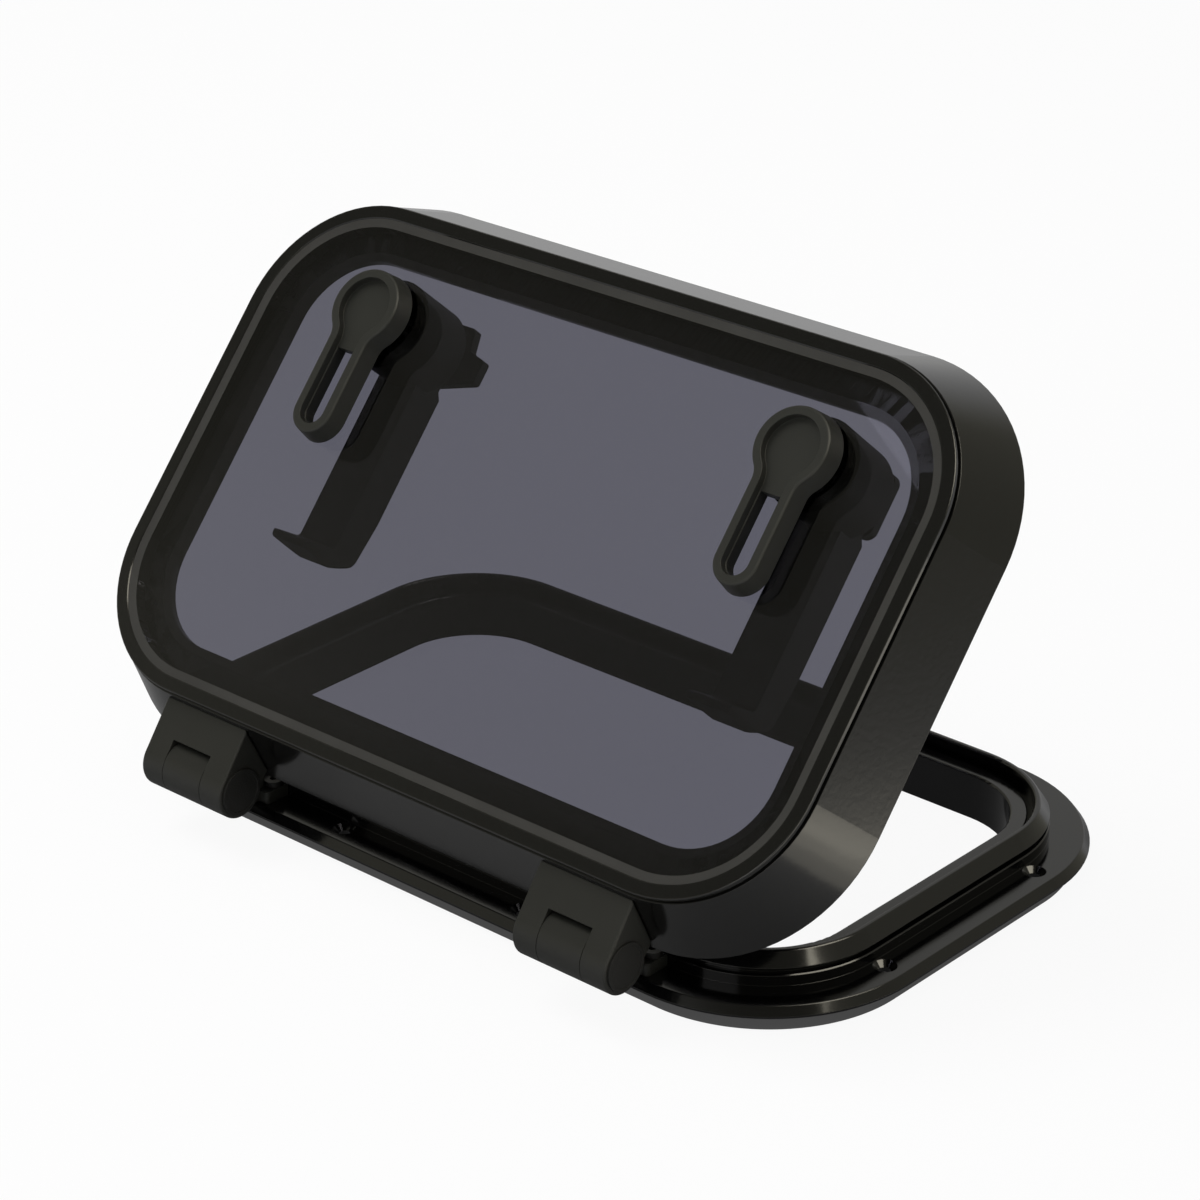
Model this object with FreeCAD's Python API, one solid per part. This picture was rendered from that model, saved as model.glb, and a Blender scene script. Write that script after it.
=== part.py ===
import FreeCAD, Part
import math
import os

# Ventilation deck hatch, in millimetres.
# The origin is the centre of the base outline, at the underside of the flange. X runs along
# the hinges, +Y points away from them and +Z points up. The lid and its handles are drawn
# closed, and are turned open about the hinge pins at the end.

FLAT = True

vec = FreeCAD.Vector
UP = vec(0, 0, 1)
ALONG = vec(1, 0, 0)

# Base frame outline, at the edge of the flange
BASE_LENGTH = 348.5
BASE_WIDTH = 216.4
BASE_CORNER = 63.6

# Base frame section
FLANGE_THICK = 3.8
FLANGE_WIDTH = 14.9
FLANGE_FOOT = 0.7
FLANGE_BEVEL = 2.3
FLANGE_ROUND = 0.5
EDGE_BREAK = 0.4
UPSTAND_WIDTH = 5.9
UPSTAND_HEIGHT = 12.0
UPSTAND_LEAN = 3.9
RIM_ROUND_OUT = 1.0
RIM_ROUND_IN = 0.7
SIDE_GROOVE_RISE = 4.3
SIDE_GROOVE_HEIGHT = 2.5
SIDE_GROOVE_DEPTH = 2.7
GUTTER_WIDTH = 2.5
GUTTER_RISE = 3.8
LAND_WIDTH = 6.4
LAND_RISE = 6.9
LAND_ROUND = 0.8
SPIGOT_THICK = 2.5
SPIGOT_DEPTH = 7.6
BEDDING_WALL = 2.6
BEDDING_WIDTH = 7.0
BEDDING_ROOF = 2.3

# Countersunk holes that take the deck screws
DECK_HOLE = 4.5
DECK_HEAD = 8.6
DECK_HOLE_INSET = 10.0
DECK_HOLE_END_INSET = 10.25
DECK_LONG_SPREAD = 89.0
DECK_SHORT_SPREAD = 88.0

# Lid frame outline, at the rim of its skirt, from the base outline
LID_OVER_ENDS = 1.8
LID_OVER_SIDES = 4.7
LID_CORNER_LESS = 0.5

# Lid frame section
SKIRT_GAP = 2.9
SKIRT_TOE = 0.6
SKIRT_RUN = 11.2
SKIRT_THICK = 2.8
ROOF_THICK = 4.2
LIP_GROOVE = 0.8
LIP_GROOVE_DEPTH = 1.4
LIP_STEP = 0.7
LIP_THICK = 2.0
LIP_WIDTH = 5.4
LIP_ROUND = 0.6
RECESS_WALL = 2.5
LEDGE_THICK = 3.4
LEDGE_REACH = 14.7
LIP_RISE = 1.0

# Glazing
PANEL_THICK = 10.0
BED_THICK = 0.4
BED_WIDTH = 8.0
JOINT_WIDTH = 3.3
JOINT_RISE = 0.6

# Seal under the ledge, above the rim of the base
SEAL_HEIGHT = 5.1
SEAL_GAP = 0.3
SEAL_STRIP_WIDTH = 8.0
SEAL_STRIP_THICK = 1.6
SEAL_BULB_WIDTH = 6.0
SEAL_BULB_ROUND = 2.6

# Hinges
HINGE_FROM_END = 80.75
HINGE_WIDTH = 42.0
HINGE_OUT = 10.2
HINGE_RISE = 15.3
KNUCKLE_RADIUS = 10.5
KNUCKLE_WIDTH = 19.5
KNUCKLE_GAP = 0.25
ARM_BACK = 0.3
ARM_NOSE = 5.4
ARM_SHOULDER_RUN = 2.8
ARM_SHOULDER_RISE = 8.4
ARM_BEND_RUN = 10.3
ARM_BEND_RISE = 10.6
ARM_NOSE_ROUND = 0.8
ARM_SHOULDER_ROUND = 2.5
ARM_BEND_ROUND = 12.0
ARM_TOP_ANGLE = -9.0
ARM_FOOT_ANGLE = -70.0
FOOT_WIDTH = 29.2
FOOT_LENGTH = 10.6
FOOT_CORNER = 1.5
LID_ARM_DROP = 1.9
LID_ARM_ANGLE = -49.6
LID_PLATE_THICK = 5.8
LID_PLATE_CLEAR = 0.5
LID_LEAF_ROUND = 0.8
NOTCH_CLEAR = 0.85
NOTCH_HEIGHT = 11.9
PIN_DIA = 6.0
PIN_INSET = 2.0
PIN_FIT = 0.05
SLEEVE_DIA = 10.0
CAP_DIA = 18.0
CAP_PROUD = 0.8
CAP_RIM = 1.2
CAP_DISH = 0.3

# Hinge screws
SCREW_DIA = 4.0
SCREW_HEAD = 7.4
SCREW_HEAD_THICK = 2.4
SCREW_KEY = 2.5
SCREW_KEY_DEPTH = 1.4
SCREW_SHOULDER = 4.7
SCREW_CLEAR = 0.3
ARM_SCREW_SPREAD = 21.6
ARM_SCREW_IN = 10.9
ARM_SCREW_TIP = 0.4
LID_SCREW_RISE = 7.3
LID_SCREW_BITE = 7.5

# Handles
HUB_FROM_END = 43.05
HUB_FROM_SIDE = 19.8
BUSH_DIA = 14.0
BUSH_FLANGE_DIA = 20.0
BUSH_FLANGE_THICK = 1.0
BUSH_TAIL = 0.6
GASKET_DIA = 19.0
GASKET_THICK = 0.6
NUT_DIA = 24.0
NUT_THICK = 4.4
NUT_SLOTS = 6
NUT_SLOT_WIDTH = 3.0
NUT_SLOT_DEPTH = 1.6
SPINDLE_DIA = 9.0
SPINDLE_FIT = 0.05
SPINDLE_SQUARE = 7.0
SPINDLE_SQUARE_LENGTH = 20.0
SPINDLE_GRIP = 4.2
RING_GROOVE_DIA = 6.6
RING_GROOVE_WIDTH = 1.9
RING_GROOVE_UP = 2.0
RING_SECTION = 1.22
HANDLE_GAP = 0.2
HANDLE_THICK = 8.2
HANDLE_HEAD = 14.8
HANDLE_ARM = 9.0
HANDLE_END = 52.4
HANDLE_WAIST = 8.0
HANDLE_FLARE = 1.2
HANDLE_RIM = 3.4
HANDLE_SLOT_RIM = 3.8
HANDLE_RECESS = 3.2
HANDLE_SLOT_START = 17.5
HANDLE_EDGE = 1.0

# Inner handle: hub and lever in one piece
HUB_GAP = 0.8
HUB_RADIUS = 17.8
HUB_HEIGHT = 27.1
HUB_CUP_RADIUS = 15.2
HUB_CUP_DEPTH = 18.2
HUB_ROUND = 1.2
SQUARE_REACH = 9.0
BOSS_RADIUS = 7.0
BOSS_GAP = 0.5
NECK_RADIUS = 12.0
NECK_END_RADIUS = 8.5
NECK_END_FLATS = 13.0
NECK_END_SHORT = 0.3
LEVER_DROP = 0.7
LEVER_DEPTH = 15.8
LEVER_WIDTH = 19.0
LEVER_LENGTH = 91.8
LEVER_CORNER = 4.0
LEVER_HEEL_DROP = 3.0
LEVER_HEEL_ROUND = 6.0
LEVER_TOE_ROUND = 5.0
LEVER_TOE_IN = 5.0
LEVER_TOE_RISE = 2.0
LEVER_BELLY_IN = 24.0
LEVER_BELLY_ROUND = 20.0
LEVER_WALL = 2.5
LEVER_ROOF = 3.0
LEVER_POCKET_START = 20.0
LEVER_POCKET_END = 78.0
LEVER_POCKET_ROUND = 2.0
LIP_HEIGHT = 14.4
LIP_BASE_IN = 7.3
LIP_TIP_IN = 4.8
LIP_TIP_THICK = 3.0
LIP_TIP_ROUND = 1.0
LIP_ROOT_ROUND = 2.0

# Catch plate, on the flats at the end of the neck
CATCH_GAP = 0.4
CATCH_THICK = 4.0
CATCH_FIT = 0.05
CATCH_CLEAR = 0.4
TONGUE_LAP = 3.2
TONGUE_LOW = 4.6
TONGUE_HIGH = 6.8
TONGUE_TAPER = 2.0
TONGUE_ROUND = 1.5
SHOULDER_OUT = 12.4
SHOULDER_ROOT = 14.6
SHOULDER_HIGH = 15.6
COLLAR_OUT = 12.0
COLLAR_ROUND = 4.0

# Screw and washer that hold the catch and the inner handle to the spindle
CLAMP_DIA = 5.0
CLAMP_BITE = 12.0
CLAMP_HEAD = 9.5
CLAMP_HEAD_THICK = 2.7
CLAMP_KEY = 3.0
CLAMP_KEY_DEPTH = 1.6
WASHER_DIA = 20.0
WASHER_THICK = 1.5
WASHER_HOLE = 5.3

# Hinge travel, in degrees: how far the lid stands open, from closed
LID_OPEN = 49.3

# Base frame, worked out
base_x = BASE_LENGTH / 2
base_y = BASE_WIDTH / 2
flange_top = FLANGE_THICK
upstand_top = flange_top + UPSTAND_HEIGHT
upstand_in = FLANGE_WIDTH + UPSTAND_WIDTH
rim_out = FLANGE_WIDTH + UPSTAND_LEAN
gutter_floor = flange_top + GUTTER_RISE
land_top = flange_top + LAND_RISE
land_out = upstand_in + GUTTER_WIDTH
opening_inset = land_out + LAND_WIDTH
opening_x = base_x - opening_inset
opening_y = base_y - opening_inset

# Lid frame, worked out from the seal upward
lid_x = base_x + LID_OVER_ENDS
lid_y = base_y + LID_OVER_SIDES
lid_corner = BASE_CORNER - LID_CORNER_LESS
skirt_foot = flange_top + SKIRT_GAP
skirt_toe = skirt_foot + SKIRT_TOE
ledge_bottom = upstand_top + SEAL_GAP + SEAL_HEIGHT
ledge_top = ledge_bottom + LEDGE_THICK
panel_bottom = ledge_top + BED_THICK
panel_top = panel_bottom + PANEL_THICK
lid_top = panel_top + LIP_RISE
lip_bottom = lid_top - LIP_THICK
skirt_top = lip_bottom - LIP_GROOVE
skirt_slope = SKIRT_RUN / (skirt_top - skirt_toe)
lip_out = SKIRT_RUN + LIP_STEP
lip_in = lip_out + LIP_WIDTH
panel_edge = lip_in + JOINT_WIDTH
ledge_in = lip_in + LEDGE_REACH
recess_out = lip_in - RECESS_WALL

# Hinges, worked out
hinge_x = base_x - HINGE_FROM_END
pin_y = -lid_y - HINGE_OUT
pin_z = flange_top + HINGE_RISE
cheek_in = KNUCKLE_WIDTH / 2 + KNUCKLE_GAP

# Handles, worked out from the glass upward and downward
hub_x = opening_x - HUB_FROM_END
hub_y = opening_y - HUB_FROM_SIDE
gasket_top = panel_top + GASKET_THICK
bush_top = gasket_top + BUSH_FLANGE_THICK
bush_bottom = panel_bottom - NUT_THICK - BUSH_TAIL
handle_bottom = bush_top + HANDLE_GAP
handle_top = handle_bottom + HANDLE_THICK
spindle_top = handle_bottom + SPINDLE_GRIP
hub_top = panel_bottom - HUB_GAP
hub_bottom = hub_top - HUB_HEIGHT
cup_floor = hub_top - HUB_CUP_DEPTH
boss_top = bush_bottom - BOSS_GAP
spindle_bottom = cup_floor - SQUARE_REACH
square_top = spindle_bottom + SPINDLE_SQUARE_LENGTH
catch_top = -SPIGOT_DEPTH - CATCH_GAP
catch_bottom = catch_top - CATCH_THICK
lever_top = cup_floor - LEVER_DROP
lever_bottom = lever_top - LEVER_DEPTH
clamp_seat = catch_bottom - WASHER_THICK


def outline(corners, place):
    """Make a closed wire through corners, set in space by place.

    A corner is (u, v) where it is sharp, (u, v, radius) where it is round, and
    (u, v, cut, FLAT) where it is cut off straight.
    """
    spots = [vec(corner[0], corner[1], 0) for corner in corners]
    bends = []
    for index, (spot, corner) in enumerate(zip(spots, corners)):
        size = corner[2] if len(corner) > 2 else 0
        flat = len(corner) > 3
        back = (spots[index - 1] - spot).normalize()
        ahead = (spots[(index + 1) % len(spots)] - spot).normalize()
        half = back.getAngle(ahead) / 2
        reach = size if flat else size / math.tan(half)
        middle = None
        if size and not flat:
            inward = (back + ahead).normalize()
            middle = spot + inward * (size / math.sin(half) - size)
        bends.append((spot + back * reach, middle, spot + ahead * reach))
    edges = []
    for index, (start, middle, end) in enumerate(bends):
        before = bends[index - 1][2]
        if (start - before).Length > 1e-6:
            edges.append(Part.LineSegment(place(*before[:2]), place(*start[:2])).toShape())
        if middle:
            points = [place(*point[:2]) for point in (start, middle, end)]
            edges.append(Part.Arc(*points).toShape())
        elif (end - start).Length > 1e-6:
            edges.append(Part.LineSegment(place(*start[:2]), place(*end[:2])).toShape())
    return Part.Wire(edges)


def plate(corners, bottom, top):
    """Extrude an (x, y) outline upward."""
    wire = outline(corners, lambda x, y: vec(x, y, bottom))
    return Part.Face(wire).extrude(vec(0, 0, top - bottom))


def bar(corners, start, end):
    """Extrude a (y, z) outline along X."""
    wire = outline(corners, lambda y, z: vec(start, y, z))
    return Part.Face(wire).extrude(vec(end - start, 0, 0))


def turned(corners, x=0, y=0):
    """Revolve a (radius, z) outline about an upright axis."""
    wire = outline(corners, lambda radius, z: vec(x + radius, y, z))
    return Part.Face(wire).revolve(vec(x, y, 0), UP, 360)


def post(radius, bottom, top, x=0, y=0):
    """Make an upright cylinder."""
    return Part.makeCylinder(radius, top - bottom, vec(x, y, bottom), UP)


def rod(radius, start, end):
    """Make a cylinder round the hinge axis."""
    return Part.makeCylinder(radius, end - start, vec(start, pin_y, pin_z), ALONG)


def block(x_from, x_to, y_from, y_to, z_from, z_to):
    """Make a box between two corners."""
    return Part.makeBox(x_to - x_from, y_to - y_from, z_to - z_from, vec(x_from, y_from, z_from))


def hex_post(flats, bottom, top):
    """Make an upright hexagonal prism, measured across its flats."""
    radius = flats / math.sqrt(3)
    angles = [math.radians(60 * step) for step in range(6)]
    return plate([(radius * math.cos(turn), radius * math.sin(turn)) for turn in angles], bottom, top)


def ring(section, half_x, half_y, radius):
    """Sweep an (inset, z) section round a rounded rectangle, as straights and turned corners."""
    pieces = []
    for quarter in range(4):
        angle = math.radians(90 * quarter)
        out = vec(round(math.cos(angle)), round(math.sin(angle)), 0)
        ahead = vec(-out.y, out.x, 0)
        reach, run = (half_x, half_y - radius) if quarter % 2 == 0 else (half_y, half_x - radius)
        start = out * reach - ahead * run
        end = out * reach + ahead * run
        straight = outline(section, lambda inset, z: start - out * inset + UP * z)
        pieces.append(Part.Face(straight).extrude(ahead * (2 * run)))
        corner = outline(section, lambda inset, z: end - out * inset + UP * z)
        pieces.append(Part.Face(corner).revolve(end - out * radius, UP, 90))
    return pieces[0].multiFuse(pieces[1:]).removeSplitter()


def mirrored(shape):
    """Reflect a piece to the other end of the hatch."""
    return shape.mirror(vec(0, 0, 0), ALONG)


def at_hinge(shape):
    """Move a piece drawn about x = 0 to the left hinge."""
    return shape.translated(vec(-hinge_x, 0, 0))


def at_hub(shape):
    """Move a piece drawn about the hub axis to the left handle."""
    return shape.translated(vec(-hub_x, hub_y, 0))


def skirt_y(z):
    """Give the y of the skirt's outer face on the hinge side."""
    return -lid_y + skirt_slope * (z - skirt_toe)


def base_frame():
    groove_floor = FLANGE_WIDTH + SIDE_GROOVE_DEPTH
    groove_low = flange_top + SIDE_GROOVE_RISE
    groove_high = groove_low + SIDE_GROOVE_HEIGHT
    spigot_in = opening_inset - SPIGOT_THICK
    bedding_out = FLANGE_WIDTH + BEDDING_WALL
    bedding_in = bedding_out + BEDDING_WIDTH
    bedding_top = gutter_floor - BEDDING_ROOF
    section = [
        (0, 0),
        (0, FLANGE_FOOT),
        (FLANGE_BEVEL, flange_top, FLANGE_ROUND),
        (FLANGE_WIDTH, flange_top),
        (FLANGE_WIDTH, groove_low, EDGE_BREAK, FLAT),
        (groove_floor, groove_low),
        (groove_floor, groove_high),
        (FLANGE_WIDTH, groove_high),
        (rim_out, upstand_top, RIM_ROUND_OUT),
        (upstand_in, upstand_top, RIM_ROUND_IN),
        (upstand_in, gutter_floor),
        (land_out, gutter_floor),
        (land_out, land_top, EDGE_BREAK, FLAT),
        (opening_inset, land_top, LAND_ROUND),
        (opening_inset, -SPIGOT_DEPTH),
        (spigot_in, -SPIGOT_DEPTH),
        (spigot_in, 0),
        (bedding_in, 0),
        (bedding_in, bedding_top),
        (bedding_out, bedding_top),
        (bedding_out, 0),
    ]
    frame = ring(section, base_x, base_y, BASE_CORNER)
    side_y = base_y - DECK_HOLE_INSET
    end_x = base_x - DECK_HOLE_END_INSET
    holes = [(x, y) for x in (-DECK_LONG_SPREAD / 2, DECK_LONG_SPREAD / 2) for y in (-side_y, side_y)]
    holes += [(x, y) for x in (-end_x, end_x) for y in (-DECK_SHORT_SPREAD / 2, DECK_SHORT_SPREAD / 2)]
    head_depth = (DECK_HEAD - DECK_HOLE) / 2
    drill = turned([
        (0, -1),
        (DECK_HOLE / 2, -1),
        (DECK_HOLE / 2, flange_top - head_depth),
        (DECK_HEAD / 2, flange_top),
        (DECK_HEAD / 2, flange_top + 1),
        (0, flange_top + 1),
    ])
    cuts = [drill.translated(vec(x, y, 0)) for x, y in holes]
    for centre in (-hinge_x, hinge_x):
        for x in arm_screw_places(centre):
            cuts.append(post(SCREW_DIA / 2, -1, flange_top + 1, x, arm_screw_y()))
    return frame.cut(cuts)


def lid_frame():
    roof = skirt_top - ROOF_THICK
    skirt_in = SKIRT_THICK + skirt_slope * (roof - skirt_toe)
    foot_in = SKIRT_THICK + skirt_slope * (skirt_foot - skirt_toe)
    groove_in = SKIRT_RUN + LIP_GROOVE_DEPTH
    section = [
        (EDGE_BREAK, skirt_foot),
        (0, skirt_toe),
        (SKIRT_RUN, skirt_top),
        (groove_in, skirt_top),
        (groove_in, lip_bottom),
        (lip_out, lip_bottom),
        (lip_out, lid_top, LIP_ROUND),
        (lip_in, lid_top, EDGE_BREAK, FLAT),
        (lip_in, ledge_top),
        (ledge_in, ledge_top, EDGE_BREAK, FLAT),
        (ledge_in, ledge_bottom),
        (recess_out, ledge_bottom),
        (recess_out, roof),
        (skirt_in, roof),
        (foot_in, skirt_foot),
    ]
    frame = ring(section, lid_x, lid_y, lid_corner)
    notch_x = KNUCKLE_WIDTH / 2 + NOTCH_CLEAR
    notch_top = skirt_foot + NOTCH_HEIGHT
    cuts = []
    for centre in (-hinge_x, hinge_x):
        x_from, x_to = centre - notch_x, centre + notch_x
        notch = block(x_from, x_to, -lid_y - 1, skirt_y(notch_top) + 2 * SKIRT_THICK, 0, notch_top)
        cuts.append(notch)
        cuts += [lid_screw_hole(x) for x in lid_screw_places(centre)]
    return frame.cut(cuts)


def panel():
    half_x = lid_x - panel_edge
    half_y = lid_y - panel_edge
    corner = lid_corner - panel_edge
    sheet = plate([
        (-half_x, -half_y, corner),
        (half_x, -half_y, corner),
        (half_x, half_y, corner),
        (-half_x, half_y, corner),
    ], panel_bottom, panel_top)
    holes = [post(BUSH_DIA / 2, ledge_top, lid_top, x, hub_y) for x in (-hub_x, hub_x)]
    return sheet.cut(holes)


def panel_sealant():
    bed_in = panel_edge + BED_WIDTH
    section = [
        (lip_in, ledge_top),
        (lip_in, panel_top + JOINT_RISE),
        (panel_edge, panel_top),
        (panel_edge, panel_bottom),
        (bed_in, panel_bottom),
        (bed_in, ledge_top),
    ]
    return ring(section, lid_x, lid_y, lid_corner)


def lid_seal():
    middle = (rim_out + upstand_in) / 2
    strip = SEAL_STRIP_WIDTH / 2
    bulb = SEAL_BULB_WIDTH / 2
    strip_bottom = ledge_bottom - SEAL_STRIP_THICK
    bulb_bottom = ledge_bottom - SEAL_HEIGHT
    section = [
        (middle - strip, ledge_bottom),
        (middle + strip, ledge_bottom),
        (middle + strip, strip_bottom),
        (middle + bulb, strip_bottom),
        (middle + bulb, bulb_bottom, SEAL_BULB_ROUND),
        (middle - bulb, bulb_bottom, SEAL_BULB_ROUND),
        (middle - bulb, strip_bottom),
        (middle - strip, strip_bottom),
    ]
    return ring(section, base_x, base_y, BASE_CORNER)


def on_knuckle(angle):
    """Give the (y, z) point of the knuckle at an angle from +Y."""
    turn = math.radians(angle)
    return (pin_y + KNUCKLE_RADIUS * math.cos(turn), pin_z + KNUCKLE_RADIUS * math.sin(turn))


def arm_screw_places(centre):
    return [centre - ARM_SCREW_SPREAD / 2, centre + ARM_SCREW_SPREAD / 2]


def arm_screw_y():
    return -base_y + ARM_SCREW_IN


def lid_screw_places(centre):
    offset = (cheek_in + HINGE_WIDTH / 2) / 2
    return [centre - offset, centre + offset]


def hinge_base_leaf():
    half = KNUCKLE_WIDTH / 2
    back = -base_y + FLANGE_WIDTH - ARM_BACK
    profile = [
        (back, flange_top),
        (back, flange_top + ARM_NOSE, ARM_NOSE_ROUND),
        (back - ARM_SHOULDER_RUN, flange_top + ARM_SHOULDER_RISE, ARM_SHOULDER_ROUND),
        (back - ARM_BEND_RUN, flange_top + ARM_BEND_RISE, ARM_BEND_ROUND),
        on_knuckle(ARM_TOP_ANGLE),
        (pin_y, pin_z),
        on_knuckle(ARM_FOOT_ANGLE),
        (-base_y, flange_top),
    ]
    seat = flange_top + SCREW_SHOULDER
    side = FOOT_WIDTH / 2
    foot = plate([
        (-side, back - FOOT_LENGTH, FOOT_CORNER),
        (side, back - FOOT_LENGTH, FOOT_CORNER),
        (side, back),
        (-side, back),
    ], flange_top, seat)
    leaf = bar(profile, -half, half).fuse([rod(KNUCKLE_RADIUS, -half, half), foot])
    cuts = [rod(SLEEVE_DIA / 2, -half, half)]
    for x in arm_screw_places(0):
        cuts.append(post(SCREW_DIA / 2, 0, seat + 1, x, arm_screw_y()))
        cuts.append(post(SCREW_HEAD / 2 + SCREW_CLEAR, seat, pin_z, x, arm_screw_y()))
    return at_hinge(leaf.cut(cuts))


def hinge_lid_leaf():
    half = HINGE_WIDTH / 2
    top = skirt_top - LID_ARM_DROP
    foot = on_knuckle(LID_ARM_ANGLE)
    profile = [
        (skirt_y(top), top),
        (pin_y, pin_z + KNUCKLE_RADIUS),
        (pin_y, pin_z),
        foot,
        (skirt_y(foot[1]), foot[1]),
    ]
    leaf = bar(profile, -half, half).fuse(rod(KNUCKLE_RADIUS, -half, half)).removeSplitter()
    upright = [edge for edge in leaf.Edges if edge.BoundBox.XLength < 0.01]
    ends = [edge for edge in upright if abs(edge.BoundBox.XMin) > half - 0.01]
    seen = [edge for edge in ends if edge.BoundBox.YMin < skirt_y(top) - 1]
    leaf = leaf.makeFillet(LID_LEAF_ROUND, [edge for edge in seen if edge.BoundBox.ZMax > foot[1] + 0.01])
    under_plate = top - LID_PLATE_THICK
    cuts = [
        rod(KNUCKLE_RADIUS + LID_PLATE_CLEAR, -cheek_in, cheek_in),
        block(-cheek_in, cheek_in, pin_y - 2 * KNUCKLE_RADIUS, foot[0], 0, lid_top),
        block(-cheek_in, cheek_in, foot[0] - 1, skirt_y(top), 0, under_plate),
        rod(PIN_DIA / 2, -half, half),
    ]
    cuts += [lid_screw_hole(x) for x in lid_screw_places(0)]
    return at_hinge(leaf.cut(cuts))


def hinge_friction_sleeve():
    half = KNUCKLE_WIDTH / 2
    outside = rod(SLEEVE_DIA / 2, -half, half)
    return at_hinge(outside.cut(rod(PIN_DIA / 2 + PIN_FIT, -half, half)))


def hinge_pin():
    half = HINGE_WIDTH / 2 - PIN_INSET
    return at_hinge(rod(PIN_DIA / 2, -half, half))


def hinge_pin_caps():
    half = HINGE_WIDTH / 2
    disc = rod(CAP_DIA / 2, half, half + CAP_PROUD)
    dish = rod(CAP_DIA / 2 - CAP_RIM, half + CAP_PROUD - CAP_DISH, half + CAP_PROUD)
    peg = rod(PIN_DIA / 2, half - PIN_INSET, half)
    cap = disc.cut(dish).fuse(peg)
    pair = [at_hinge(cap), at_hinge(mirrored(cap))]
    return Part.makeCompound(pair + [mirrored(piece) for piece in pair])


def upright_screw(tip, seat):
    """Make a screw with a keyed round head that points down."""
    screw = post(SCREW_DIA / 2, tip, seat).fuse(post(SCREW_HEAD / 2, seat, seat + SCREW_HEAD_THICK))
    key_floor = seat + SCREW_HEAD_THICK - SCREW_KEY_DEPTH
    return screw.cut(hex_post(SCREW_KEY, key_floor, seat + SCREW_HEAD_THICK))


def base_leaf_screws():
    screw = upright_screw(ARM_SCREW_TIP, flange_top + SCREW_SHOULDER)
    places = arm_screw_places(-hinge_x) + arm_screw_places(hinge_x)
    return Part.makeCompound([screw.translated(vec(x, arm_screw_y(), 0)) for x in places])


def through_skirt(shape, x):
    """Turn a piece that points down at the origin to point out through the hinge-side skirt."""
    lean = math.degrees(math.atan(skirt_slope))
    z = skirt_foot + LID_SCREW_RISE
    return shape.rotated(vec(0, 0, 0), ALONG, -90 - lean).translated(vec(x, skirt_y(z), z))


def lid_screw_seat():
    """Give the distance from the skirt's outer face to the head's seat."""
    return SKIRT_THICK * math.cos(math.atan(skirt_slope))


def lid_screw_hole(x):
    return through_skirt(post(SCREW_DIA / 2, -LID_SCREW_BITE, lid_screw_seat() + 1), x)


def lid_leaf_screws():
    screw = upright_screw(-LID_SCREW_BITE, lid_screw_seat())
    places = lid_screw_places(-hinge_x) + lid_screw_places(hinge_x)
    return Part.makeCompound([through_skirt(screw, x) for x in places])


def panel_gasket():
    outside = post(GASKET_DIA / 2, panel_top, gasket_top)
    return at_hub(outside.cut(post(BUSH_DIA / 2, panel_top, gasket_top)))


def panel_bush():
    bore = SPINDLE_DIA / 2 + SPINDLE_FIT
    return at_hub(turned([
        (bore, bush_bottom),
        (BUSH_DIA / 2, bush_bottom),
        (BUSH_DIA / 2, gasket_top),
        (BUSH_FLANGE_DIA / 2, gasket_top),
        (BUSH_FLANGE_DIA / 2, bush_top, EDGE_BREAK, FLAT),
        (bore, bush_top),
    ]))


def bush_nut():
    bottom = panel_bottom - NUT_THICK
    nut = post(NUT_DIA / 2, bottom, panel_bottom).cut(post(BUSH_DIA / 2, bottom, panel_bottom))
    side = NUT_SLOT_WIDTH / 2
    slot = block(NUT_DIA / 2 - NUT_SLOT_DEPTH, NUT_DIA, -side, side, bottom, panel_bottom)
    for step in range(NUT_SLOTS):
        nut = nut.cut(slot.rotated(vec(0, 0, 0), UP, step * 360 / NUT_SLOTS))
    return at_hub(nut)


def spindle_form():
    """Make the plain spindle: round where it turns, square where it drives the inner handle."""
    half = SPINDLE_SQUARE / 2
    square = block(-half, half, -half, half, spindle_bottom, square_top)
    drive = post(SPINDLE_DIA / 2, spindle_bottom, square_top).common(square)
    return drive.fuse(post(SPINDLE_DIA / 2, square_top, spindle_top))


def ring_groove_middle():
    return (panel_bottom + panel_top) / 2 - RING_GROOVE_UP


def handle_spindle():
    low = ring_groove_middle() - RING_GROOVE_WIDTH / 2
    high = low + RING_GROOVE_WIDTH
    groove = post(SPINDLE_DIA, low, high).cut(post(RING_GROOVE_DIA / 2, low, high))
    thread = post(CLAMP_DIA / 2, spindle_bottom, spindle_bottom + CLAMP_BITE)
    return at_hub(spindle_form().cut([groove, thread]))


def spindle_oring():
    middle = (RING_GROOVE_DIA + RING_SECTION) / 2
    return at_hub(Part.makeTorus(middle, RING_SECTION / 2, vec(0, 0, ring_groove_middle()), UP))


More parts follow.
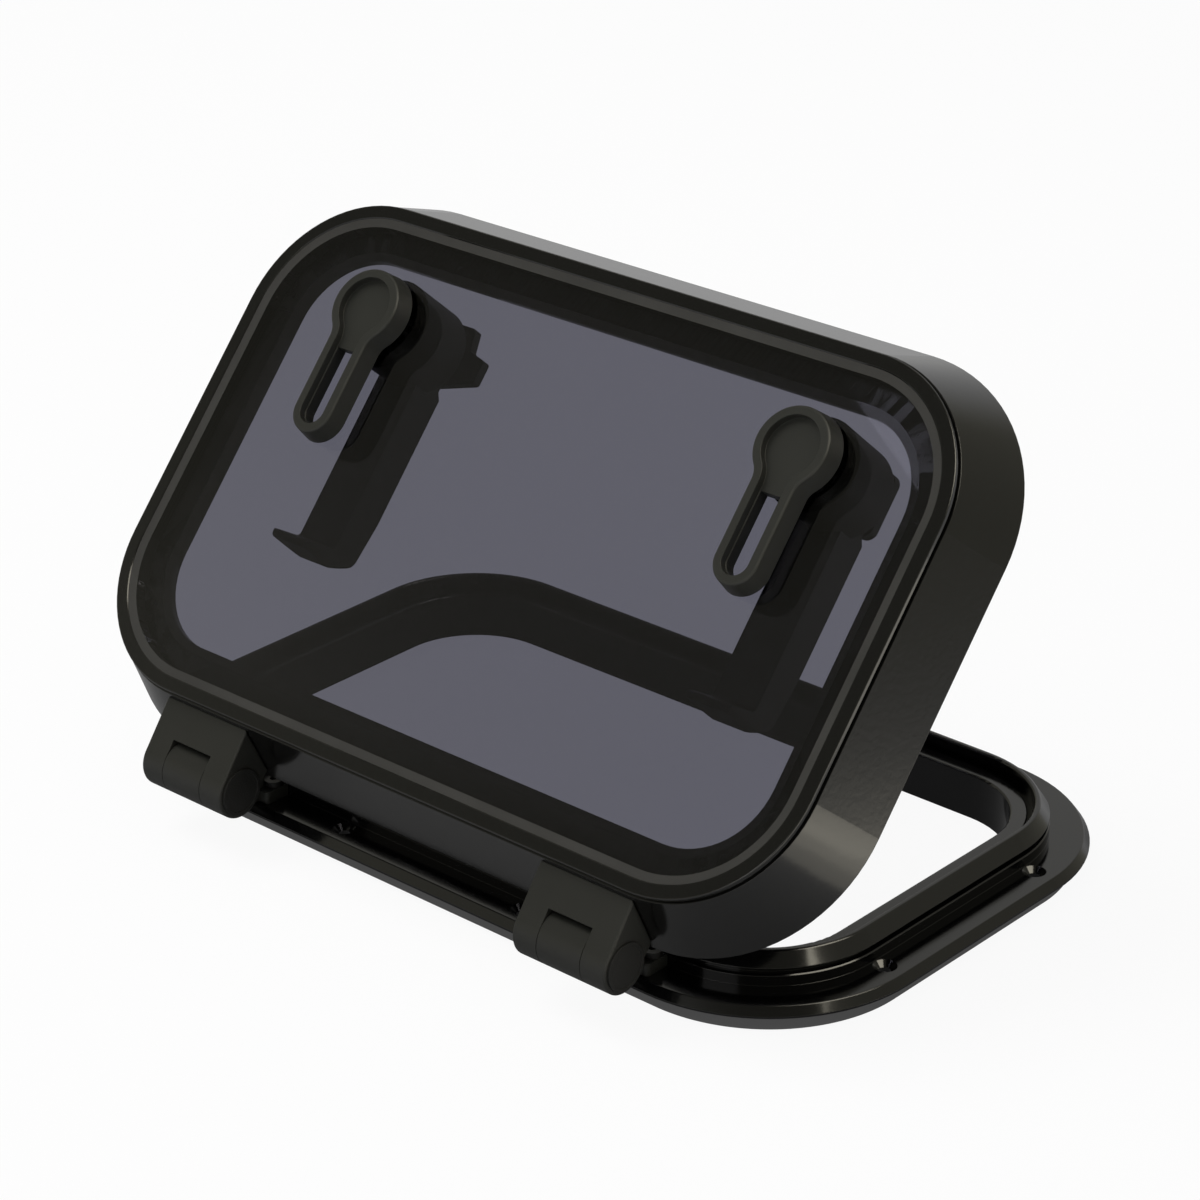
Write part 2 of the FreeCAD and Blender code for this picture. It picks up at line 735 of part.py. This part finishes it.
def keyhole_wire(inset, bottom):
    """Make the outer handle's outline, inset from its edge, at a height."""
    head = HANDLE_HEAD - inset
    arm = HANDLE_ARM - inset
    waist = HANDLE_WAIST + inset
    waist_x = HANDLE_ARM + HANDLE_WAIST
    waist_y = -math.sqrt((HANDLE_HEAD + HANDLE_WAIST) ** 2 - waist_x ** 2)
    reach = HANDLE_HEAD + HANDLE_WAIST
    neck = vec(waist_x * head / reach, waist_y * head / reach, bottom)
    bend = (math.pi + math.atan2(-waist_y, -waist_x)) / 2
    middle = vec(waist_x + waist * math.cos(bend), waist_y + waist * math.sin(bend), bottom)
    end_y = -(HANDLE_END - HANDLE_ARM)

    def across(point):
        return vec(-point.x, point.y, point.z)

    shoulder = vec(arm, waist_y, bottom)
    foot = vec(arm, end_y, bottom)
    edges = [
        Part.Arc(neck, vec(0, head, bottom), across(neck)).toShape(),
        Part.Arc(across(neck), across(middle), across(shoulder)).toShape(),
        Part.LineSegment(across(shoulder), across(foot)).toShape(),
        Part.Arc(across(foot), vec(0, end_y - arm, bottom), foot).toShape(),
        Part.LineSegment(foot, shoulder).toShape(),
        Part.Arc(shoulder, middle, neck).toShape(),
    ]
    return Part.Wire(edges)


def keyhole(inset, bottom, top):
    """Extrude the outer handle's outline, inset from its edge."""
    return Part.Face(keyhole_wire(inset, bottom)).extrude(vec(0, 0, top - bottom))


def outer_handle():
    foot = keyhole_wire(-HANDLE_FLARE, handle_bottom)
    body = Part.makeLoft([foot, keyhole_wire(0, handle_top)], True, True)
    rim_edges = [edge for edge in body.Edges if edge.BoundBox.ZMin > handle_top - 0.01]
    body = body.makeFillet(HANDLE_EDGE, rim_edges)
    recess = keyhole(HANDLE_RIM, handle_top - HANDLE_RECESS, handle_top + 1)
    beyond = block(-HANDLE_HEAD, HANDLE_HEAD, -HANDLE_END, -HANDLE_SLOT_START, 0, handle_top)
    slot = keyhole(HANDLE_SLOT_RIM, handle_bottom - 1, handle_top).common(beyond)
    bore = post(SPINDLE_DIA / 2, handle_bottom - 1, spindle_top)
    return at_hub(body.cut([recess, slot, bore]))


def neck_end(gap, bottom, top):
    """Make the flatted end of the neck, or with a gap the hole that fits round it."""
    radius = NECK_END_RADIUS + gap
    flat = NECK_END_FLATS / 2 + gap
    return post(radius, bottom, top).common(block(-radius, radius, -flat, flat, bottom, top))


def hub():
    return turned([
        (0, catch_top),
        (NECK_RADIUS, catch_top),
        (NECK_RADIUS, hub_bottom),
        (HUB_RADIUS, hub_bottom, HUB_ROUND),
        (HUB_RADIUS, hub_top, EDGE_BREAK, FLAT),
        (HUB_CUP_RADIUS, hub_top, EDGE_BREAK, FLAT),
        (HUB_CUP_RADIUS, cup_floor, HUB_ROUND, FLAT),
        (BOSS_RADIUS, cup_floor),
        (BOSS_RADIUS, boss_top, EDGE_BREAK, FLAT),
        (0, boss_top),
    ])


def lever():
    end = -LEVER_LENGTH
    half = LEVER_WIDTH / 2
    step = -(COLLAR_OUT + CATCH_CLEAR)
    side = bar([
        (0, catch_top),
        (0, lever_top),
        (end + LIP_BASE_IN, lever_top, LIP_ROOT_ROUND),
        (end + LIP_TIP_IN, lever_top + LIP_HEIGHT, LIP_TIP_ROUND),
        (end + LIP_TIP_IN - LIP_TIP_THICK, lever_top + LIP_HEIGHT, LIP_TIP_ROUND),
        (end, lever_top - LEVER_HEEL_DROP, LEVER_HEEL_ROUND),
        (end + LEVER_TOE_IN, lever_bottom + LEVER_TOE_RISE, LEVER_TOE_ROUND),
        (end + LEVER_BELLY_IN, lever_bottom, LEVER_BELLY_ROUND),
        (step - (catch_top - lever_bottom), lever_bottom),
        (step, catch_top),
    ], -half, half)
    plan = plate([
        (-half, 0),
        (-half, end, LEVER_CORNER),
        (half, end, LEVER_CORNER),
        (half, 0),
    ], lever_bottom - 1, lever_top + LIP_HEIGHT + 1)
    pocket_x = half - LEVER_WALL
    pocket = plate([
        (-pocket_x, -LEVER_POCKET_START, LEVER_POCKET_ROUND),
        (-pocket_x, -LEVER_POCKET_END, LEVER_POCKET_ROUND),
        (pocket_x, -LEVER_POCKET_END, LEVER_POCKET_ROUND),
        (pocket_x, -LEVER_POCKET_START, LEVER_POCKET_ROUND),
    ], lever_bottom - 1, lever_top - LEVER_ROOF)
    return side.common(plan).cut(pocket)


def inner_handle():
    end = neck_end(0, catch_bottom + NECK_END_SHORT, catch_top)
    body = hub().fuse([lever(), end])
    screw_way = post(WASHER_HOLE / 2, catch_bottom, spindle_bottom + 1)
    return at_hub(body.cut([spindle_form(), screw_way]))


def inner_catch():
    """Make the plate whose tongue turns under the spigot to hold the lid shut."""
    tip = HUB_FROM_SIDE + TONGUE_LAP
    form = plate([
        (tip, -TONGUE_LOW, TONGUE_ROUND),
        (tip, TONGUE_HIGH - TONGUE_TAPER, TONGUE_ROUND),
        (SHOULDER_ROOT, TONGUE_HIGH, TONGUE_ROUND),
        (SHOULDER_OUT, SHOULDER_HIGH, TONGUE_ROUND),
        (0, SHOULDER_HIGH, COLLAR_ROUND),
        (-COLLAR_OUT, COLLAR_OUT, COLLAR_ROUND),
        (-COLLAR_OUT, -COLLAR_OUT, COLLAR_ROUND),
        (0, -COLLAR_OUT, COLLAR_ROUND),
    ], catch_bottom, catch_top)
    return at_hub(form.cut(neck_end(CATCH_FIT, catch_bottom, catch_top)))


def handle_washer():
    outside = post(WASHER_DIA / 2, clamp_seat, catch_bottom)
    return at_hub(outside.cut(post(WASHER_HOLE / 2, clamp_seat, catch_bottom)))


def handle_screw():
    head_bottom = clamp_seat - CLAMP_HEAD_THICK
    head = post(CLAMP_HEAD / 2, head_bottom, clamp_seat)
    shank = post(CLAMP_DIA / 2, clamp_seat, spindle_bottom + CLAMP_BITE)
    key = hex_post(CLAMP_KEY, head_bottom, head_bottom + CLAMP_KEY_DEPTH)
    return at_hub(head.fuse(shank).cut(key))


def opened(shape):
    """Turn a piece of the lid about the hinge pins from closed to its resting place."""
    return shape.rotated(vec(0, pin_y, pin_z), ALONG, LID_OPEN)


FIXED_PIECES = {
    "base_frame": base_frame,
    "base_leaf_screws": base_leaf_screws,
}

FIXED_PAIRS = {
    "hinge_base_leaf": hinge_base_leaf,
    "hinge_friction_sleeve": hinge_friction_sleeve,
}

LID_PIECES = {
    "lid_frame": lid_frame,
    "panel": panel,
    "panel_sealant": panel_sealant,
    "lid_seal": lid_seal,
    "hinge_pin_caps": hinge_pin_caps,
    "lid_leaf_screws": lid_leaf_screws,
}

LID_PAIRS = {
    "hinge_lid_leaf": hinge_lid_leaf,
    "hinge_pin": hinge_pin,
    "panel_gasket": panel_gasket,
    "panel_bush": panel_bush,
    "bush_nut": bush_nut,
    "outer_handle": outer_handle,
    "handle_spindle": handle_spindle,
    "spindle_oring": spindle_oring,
    "inner_handle": inner_handle,
    "inner_catch": inner_catch,
    "handle_washer": handle_washer,
    "handle_screw": handle_screw,
}


def all_pieces():
    """Make every sub-part, by name, with the lid open."""
    pieces = {name: make() for name, make in FIXED_PIECES.items()}
    for name, make in FIXED_PAIRS.items():
        left = make()
        pieces[name + "_left"] = left
        pieces[name + "_right"] = mirrored(left)
    for name, make in LID_PIECES.items():
        pieces[name] = opened(make())
    for name, make in LID_PAIRS.items():
        left = make()
        pieces[name + "_left"] = opened(left)
        pieces[name + "_right"] = opened(mirrored(left))
    return pieces


os.makedirs("parts", exist_ok=True)
for node, shape in all_pieces().items():
    shape.exportStep("parts/" + node + ".step")
    box = shape.BoundBox
    print(node, len(shape.Solids), shape.isValid(), round(shape.Volume),
          [round(value, 1) for value in (box.XMin, box.XMax, box.YMin, box.YMax, box.ZMin, box.ZMax)])
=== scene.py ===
import math

import bpy
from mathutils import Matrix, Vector


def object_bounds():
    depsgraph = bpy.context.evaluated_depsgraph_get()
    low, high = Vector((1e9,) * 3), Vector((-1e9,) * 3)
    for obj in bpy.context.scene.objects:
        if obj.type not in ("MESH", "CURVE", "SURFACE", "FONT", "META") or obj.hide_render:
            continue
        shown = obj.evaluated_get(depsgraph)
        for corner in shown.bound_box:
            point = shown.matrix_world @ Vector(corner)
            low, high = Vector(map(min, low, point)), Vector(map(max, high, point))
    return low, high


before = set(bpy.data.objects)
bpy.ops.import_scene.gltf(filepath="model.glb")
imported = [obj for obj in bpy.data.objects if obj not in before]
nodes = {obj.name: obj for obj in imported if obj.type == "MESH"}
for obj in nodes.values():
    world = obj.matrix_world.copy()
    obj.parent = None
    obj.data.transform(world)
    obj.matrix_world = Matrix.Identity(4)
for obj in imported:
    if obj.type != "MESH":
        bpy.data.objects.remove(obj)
cad_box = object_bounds()

MM = 0.001

# Camera, as the photograph was taken
VIEW_AZIMUTH = 41.57
VIEW_ELEVATION = 25.13
CAMERA_PLACE = Vector((0.8058, -0.9152, 0.6480))
LENS_MM = 109.1
SENSOR_MM = 36.0

# The room: how much light comes from all round, and what gloss finds in each direction. The
# levels here and below were fitted to tones read in the photograph.
SKY_LEVEL = 0.42
FRONT_HIGH = 0.18
FRONT_LOW = 0.5
SIDE_LEVEL = 0.38
BACK_LEVEL = 0.68
BRIGHT_BACK = (-0.398, 0.896, 0.199)

# The table as reflections show it: a painted shadow, dark close to the hatch and pale further out
TABLE_NEAR = 0.15
TABLE_FAR = 0.58
TABLE_NEAR_END = 0.055
TABLE_FAR_START = 0.22

# Share of the table that glows rather than being lit, and how far it reaches
TABLE_GLOW_SHARE = 0.93
TABLE_REACH = 6.0
PAPER = (0.85, 0.85, 0.85, 1)

# A painted shadow: a dark strip painted on the table under the flange, seen through the screw holes: middles
# of the base's corners, and its distances out from them
BASE_CORNER_AT = (0.1106, 0.0446, 10)
SHADE_FROM = 0.036
SHADE_TO = 0.058
SHADE_LEVEL = 0.06

# Bright cards beside the hatch on the right, one over the other: near end, far end and brightness
CARDS = ((0.29, 1.75, 1.1), (0.36, 1.3, 0.9), (0.45, 0.95, 1.0), (0.53, 0.8, 1.0))
CARD_WIDTH = 0.6
CARD_ACROSS = -0.05
CARD_DROP = -0.006

# Softboxes: place, aim, width, height and power
GLOSS_BOX = ((1.2, 0.25, 1.82), (0, 0, 0.08), 1.5, 1.5, 40)
TOP_BOX = ((-0.8, -0.7, 2.0), (0, 0, 0.08), 1.2, 1.2, 26)
FRONT_BOX = ((0.2, -2.2, 1.0), (0, 0, 0.1), 1.2, 0.8, 6)

# Mottling of the finishes, and the two colours of a Mix node
CLOUD_SCALE = 45.0
CLOUD_DETAIL = 4.0
PORE_DETAIL = 2.0
MIX_A = 6
MIX_B = 7

WHITE = (1.0, 1.0, 1.0, 1)
WARM_WALL = (1.0, 0.97, 0.8, 1)
WARM_LAMP = (1.0, 0.94, 0.78)

SIDES = ("left", "right")


def place_camera():
    """Stand the camera where the photograph was taken from."""
    camera = bpy.data.cameras.new("camera")
    camera.lens = LENS_MM
    camera.sensor_width = SENSOR_MM
    camera.clip_start = 0.01
    rig = bpy.data.objects.new("camera", camera)
    rig.location = CAMERA_PLACE
    rig.rotation_euler = (math.radians(90 - VIEW_ELEVATION), 0, math.radians(VIEW_AZIMUTH))
    bpy.context.scene.collection.objects.link(rig)
    bpy.context.scene.camera = rig


def soft_lamp(name, place, aim, width, height, power, color=(1, 1, 1)):
    """Hang an even, rectangular lamp that points at its aim."""
    lamp = bpy.data.lights.new(name, "AREA")
    lamp.shape = "RECTANGLE"
    lamp.size = width
    lamp.size_y = height
    lamp.energy = power
    lamp.color = color
    stand = bpy.data.objects.new(name, lamp)
    stand.location = place
    towards = Vector(aim) - Vector(place)
    stand.rotation_euler = towards.to_track_quat("-Z", "Y").to_euler()
    bpy.context.scene.collection.objects.link(stand)
    return stand


class Shader:
    """Short ways to add and join the nodes of one material or world."""

    def __init__(self, tree):
        self.tree = tree
        tree.nodes.clear()

    def add(self, kind, **settings):
        node = self.tree.nodes.new("ShaderNode" + kind)
        for name, value in settings.items():
            setattr(node, name, value)
        return node

    def join(self, output, socket):
        self.tree.links.new(output, socket)

    def math(self, operation, *values):
        node = self.add("Math", operation=operation)
        for index, value in enumerate(values):
            if isinstance(value, (int, float)):
                node.inputs[index].default_value = value
            else:
                self.join(value, node.inputs[index])
        return node.outputs[0]

    def facing(self, direction, towards, start, end):
        """Rise smoothly from 0 to 1 as a direction turns towards a given one."""
        dot = self.add("VectorMath", operation="DOT_PRODUCT")
        self.join(direction, dot.inputs[0])
        dot.inputs[1].default_value = towards
        rise = self.add("MapRange", interpolation_type="SMOOTHSTEP")
        self.join(dot.outputs["Value"], rise.inputs["Value"])
        rise.inputs["From Min"].default_value = start
        rise.inputs["From Max"].default_value = end
        return rise.outputs["Result"]

    def beyond_corners(self, place, corner):
        """Give the distance outward from a rectangle whose corner is given, flat in X and Y."""
        folded = self.add("VectorMath", operation="ABSOLUTE")
        self.join(place, folded.inputs[0])
        past = self.add("VectorMath", operation="SUBTRACT")
        self.join(folded.outputs[0], past.inputs[0])
        past.inputs[1].default_value = corner
        outside = self.add("VectorMath", operation="MAXIMUM")
        self.join(past.outputs[0], outside.inputs[0])
        length = self.add("VectorMath", operation="LENGTH")
        self.join(outside.outputs[0], length.inputs[0])
        return length.outputs["Value"]

    def blend(self, factor, low, high):
        """Give low where factor is 0 and high where it is 1."""
        node = self.add("MapRange")
        self.join(factor, node.inputs["Value"])
        for name, value in (("To Min", low), ("To Max", high)):
            if isinstance(value, (int, float)):
                node.inputs[name].default_value = value
            else:
                self.join(value, node.inputs[name])
        return node.outputs["Result"]


def light_studio():
    """Light the room softly, with a white background for the eye and glass, and for gloss a room whose
    brightness changes with direction.
    """
    world = bpy.data.worlds.new("studio")
    bpy.context.scene.world = world
    world.use_nodes = True
    sky = Shader(world.node_tree)
    path = sky.add("LightPath")
    seen = sky.math("MAXIMUM", path.outputs["Is Camera Ray"], path.outputs["Is Transmission Ray"])
    where = sky.add("TexCoord").outputs["Generated"]
    front = sky.blend(sky.facing(where, (0, 0, 1), 0.42, 0.6), FRONT_LOW, FRONT_HIGH)
    behind = sky.facing(where, BRIGHT_BACK, 0.78, 1.02)
    back = sky.blend(behind, SIDE_LEVEL, BACK_LEVEL)
    room = sky.blend(sky.facing(where, (0, 1, 0), -0.3, 0.1), front, back)
    unseen = sky.blend(path.outputs["Is Glossy Ray"], SKY_LEVEL, room)
    glow = sky.add("Background")
    tint = sky.add("Mix", data_type="RGBA")
    warm = sky.math("MULTIPLY", path.outputs["Is Glossy Ray"], sky.math("SUBTRACT", 1.0, behind))
    sky.join(warm, tint.inputs["Factor"])
    tint.inputs[MIX_A].default_value = WHITE
    tint.inputs[MIX_B].default_value = WARM_WALL
    sky.join(tint.outputs[2], glow.inputs["Color"])
    sky.join(sky.blend(seen, unseen, 1.0), glow.inputs["Strength"])
    sky.join(glow.outputs[0], sky.add("OutputWorld").inputs["Surface"])
    gloss = soft_lamp("gloss softbox", *GLOSS_BOX, WARM_LAMP)
    gloss.visible_diffuse = False
    top = soft_lamp("top softbox", *TOP_BOX)
    top.visible_glossy = False
    soft_lamp("front softbox", *FRONT_BOX)
    for start, end, level in CARDS:
        length = end - start
        middle = (start + end) / 2
        place = (middle, CARD_ACROSS, CARD_DROP)
        above = (middle, CARD_ACROSS, 1)
        power = level * math.pi * length * CARD_WIDTH
        card = soft_lamp("table card", place, above, length, CARD_WIDTH, power, WARM_LAMP)
        card.visible_camera = False
        card.visible_transmission = False


def lay_floor():
    """Make the pale table that the hatch stands on, white to the eye, with a faint real shadow, a painted
    shadow strip under the flange, and painted shade close to the hatch in reflections.
    """
    material = bpy.data.materials.new("white table")
    material.use_nodes = True
    table = Shader(material.node_tree)
    path = table.add("LightPath")
    seen = table.math("MAXIMUM", path.outputs["Is Camera Ray"], path.outputs["Is Transmission Ray"])
    shown = table.math("MAXIMUM", seen, path.outputs["Is Glossy Ray"])
    away = table.beyond_corners(table.add("TexCoord").outputs["Object"], BASE_CORNER_AT)
    # Painted shadow for reflections: the table's glow, as gloss sees it, darkens close to the hatch
    rise = table.add("MapRange", interpolation_type="SMOOTHSTEP")
    table.join(away, rise.inputs["Value"])
    rise.inputs["From Min"].default_value = TABLE_NEAR_END
    rise.inputs["From Max"].default_value = TABLE_FAR_START
    rise.inputs["To Min"].default_value = TABLE_NEAR
    rise.inputs["To Max"].default_value = TABLE_FAR
    paper = table.add("BsdfDiffuse")
    paper.inputs["Color"].default_value = PAPER
    glow = table.add("Emission")
    glow.inputs["Color"].default_value = WHITE
    # Painted shadow: as the eye sees it, the table's glow drops to a dark strip under the flange
    painted_shadow_strip = table.math("MULTIPLY", table.math("GREATER_THAN", away, SHADE_FROM),
                       table.math("LESS_THAN", away, SHADE_TO))
    white_with_painted_shadow = table.blend(painted_shadow_strip, 1.0, SHADE_LEVEL)
    table.join(table.blend(seen, rise.outputs["Result"], white_with_painted_shadow), glow.inputs["Strength"])
    mix = table.add("MixShader")
    table.join(table.math("MULTIPLY", shown, TABLE_GLOW_SHARE), mix.inputs[0])
    table.join(paper.outputs[0], mix.inputs[1])
    table.join(glow.outputs[0], mix.inputs[2])
    table.join(mix.outputs[0], table.add("OutputMaterial").inputs["Surface"])
    mesh = bpy.data.meshes.new("table")
    far = TABLE_REACH
    low = cad_box[0][2]
    corners = [(-far, -far, low), (far, -far, low), (far, far, low), (-far, far, low)]
    mesh.from_pydata(corners, [], [(0, 1, 2, 3)])
    mesh.materials.append(material)
    floor = bpy.data.objects.new("table", mesh)
    bpy.context.scene.collection.objects.link(floor)


def finish(name, color, roughness, grain=0.0, grain_size=1.0, mottle=0.0, gloss=0.5, edge=0.0, **settings):
    """Make a solid finish: a colour with mottling, a fine grain of a size, and edges rounded
    to a radius, in millimetres."""
    material = bpy.data.materials.new(name)
    material.use_nodes = True
    coat = Shader(material.node_tree)
    surface = coat.add("BsdfPrincipled")
    surface.inputs["Roughness"].default_value = roughness
    surface.inputs["Specular IOR Level"].default_value = gloss
    for socket, value in settings.items():
        surface.inputs[socket.replace("_", " ")].default_value = value
    where = coat.add("TexCoord")
    cloud = coat.add("TexNoise")
    cloud.inputs["Scale"].default_value = CLOUD_SCALE
    cloud.inputs["Detail"].default_value = CLOUD_DETAIL
    coat.join(where.outputs["Object"], cloud.inputs["Vector"])
    tone = coat.add("Mix", data_type="RGBA", blend_type="MIX")
    coat.join(cloud.outputs["Fac"], tone.inputs["Factor"])
    tone.inputs[MIX_A].default_value = tuple(value * (1 - mottle) for value in color) + (1,)
    tone.inputs[MIX_B].default_value = tuple(value * (1 + mottle) for value in color) + (1,)
    coat.join(tone.outputs[2], surface.inputs["Base Color"])
    if grain:
        pores = coat.add("TexNoise")
        pores.inputs["Scale"].default_value = 1 / (grain_size * MM)
        pores.inputs["Detail"].default_value = PORE_DETAIL
        coat.join(where.outputs["Object"], pores.inputs["Vector"])
        relief = coat.add("Bump")
        relief.inputs["Strength"].default_value = 1.0
        relief.inputs["Distance"].default_value = grain * MM
        coat.join(pores.outputs["Fac"], relief.inputs["Height"])
        if edge:
            rounded = coat.add("Bevel", samples=4)
            rounded.inputs["Radius"].default_value = edge * MM
            coat.join(rounded.outputs[0], relief.inputs["Normal"])
        coat.join(relief.outputs["Normal"], surface.inputs["Normal"])
    coat.join(surface.outputs[0], coat.add("OutputMaterial").inputs["Surface"])
    return material


def dress(node, material):
    """Give a piece of the frame its finish."""
    mesh = nodes[node].data
    mesh.materials.clear()
    mesh.materials.append(material)


place_camera()
light_studio()
lay_floor()

gloss_black = finish("gloss black powder coat", (0.0015, 0.0015, 0.0016), 0.12, 0.004, 1.6, 0.05, 0.5, 0.3)
lid_black = finish("semi-gloss black powder coat", (0.0035, 0.0035, 0.0032), 0.15, 0.018, 2.4, 0.05, 0.5, 0.3)
handle_black = finish("moulded handle", (0.018, 0.0185, 0.0155), 0.5, 0.01, 0.5, 0.1, 0.4, 0.5)
hinge_black = finish("moulded hinge", (0.0125, 0.0128, 0.0105), 0.5, 0.02, 0.5, 0.2, 0.45, 0.4)
joint_black = finish("sealant", (0.035, 0.034, 0.031), 0.7, 0.06, 0.7, 0.25, 0.3)
rubber = finish("rubber", (0.012, 0.012, 0.012), 0.6, 0.01, 0.4, 0.1, 0.35)
steel = finish("stainless steel", (0.55, 0.55, 0.54), 0.28, 0.004, 0.2, 0.05, 0.5, Metallic=1.0)
cap_black = finish("rough moulded cap", (0.007, 0.007, 0.0065), 0.6, 0.1, 0.6, 0.3, 0.4, 0.3)
screw_black = finish("blackened screw", (0.005, 0.005, 0.005), 0.45, 0.004, 0.2, 0.05, 0.4)
acetal = finish("acetal", (0.55, 0.54, 0.5), 0.4, 0.0, 1.0, 0.05, 0.5)
tinted = finish("tinted acrylic", (0.115, 0.115, 0.145), 0.0, 0.0, 1.0, 0.0, 0.5,
                IOR=1.49, Transmission_Weight=1.0)

dress("base_frame", gloss_black)
dress("lid_frame", lid_black)
dress("panel", tinted)
dress("panel_sealant", joint_black)
dress("lid_seal", rubber)
dress("hinge_pin_caps", cap_black)
dress("base_leaf_screws", screw_black)
dress("lid_leaf_screws", steel)
FINISHES = {
    "hinge_base_leaf": hinge_black,
    "hinge_lid_leaf": hinge_black,
    "hinge_friction_sleeve": acetal,
    "hinge_pin": steel,
    "panel_gasket": rubber,
    "panel_bush": handle_black,
    "bush_nut": handle_black,
    "outer_handle": handle_black,
    "handle_spindle": steel,
    "spindle_oring": rubber,
    "inner_handle": handle_black,
    "inner_catch": handle_black,
    "handle_washer": steel,
    "handle_screw": steel,
}
for piece, material in FINISHES.items():
    for side in SIDES:
        dress(piece + "_" + side, material)

bpy.context.scene.view_settings.view_transform = "Standard"
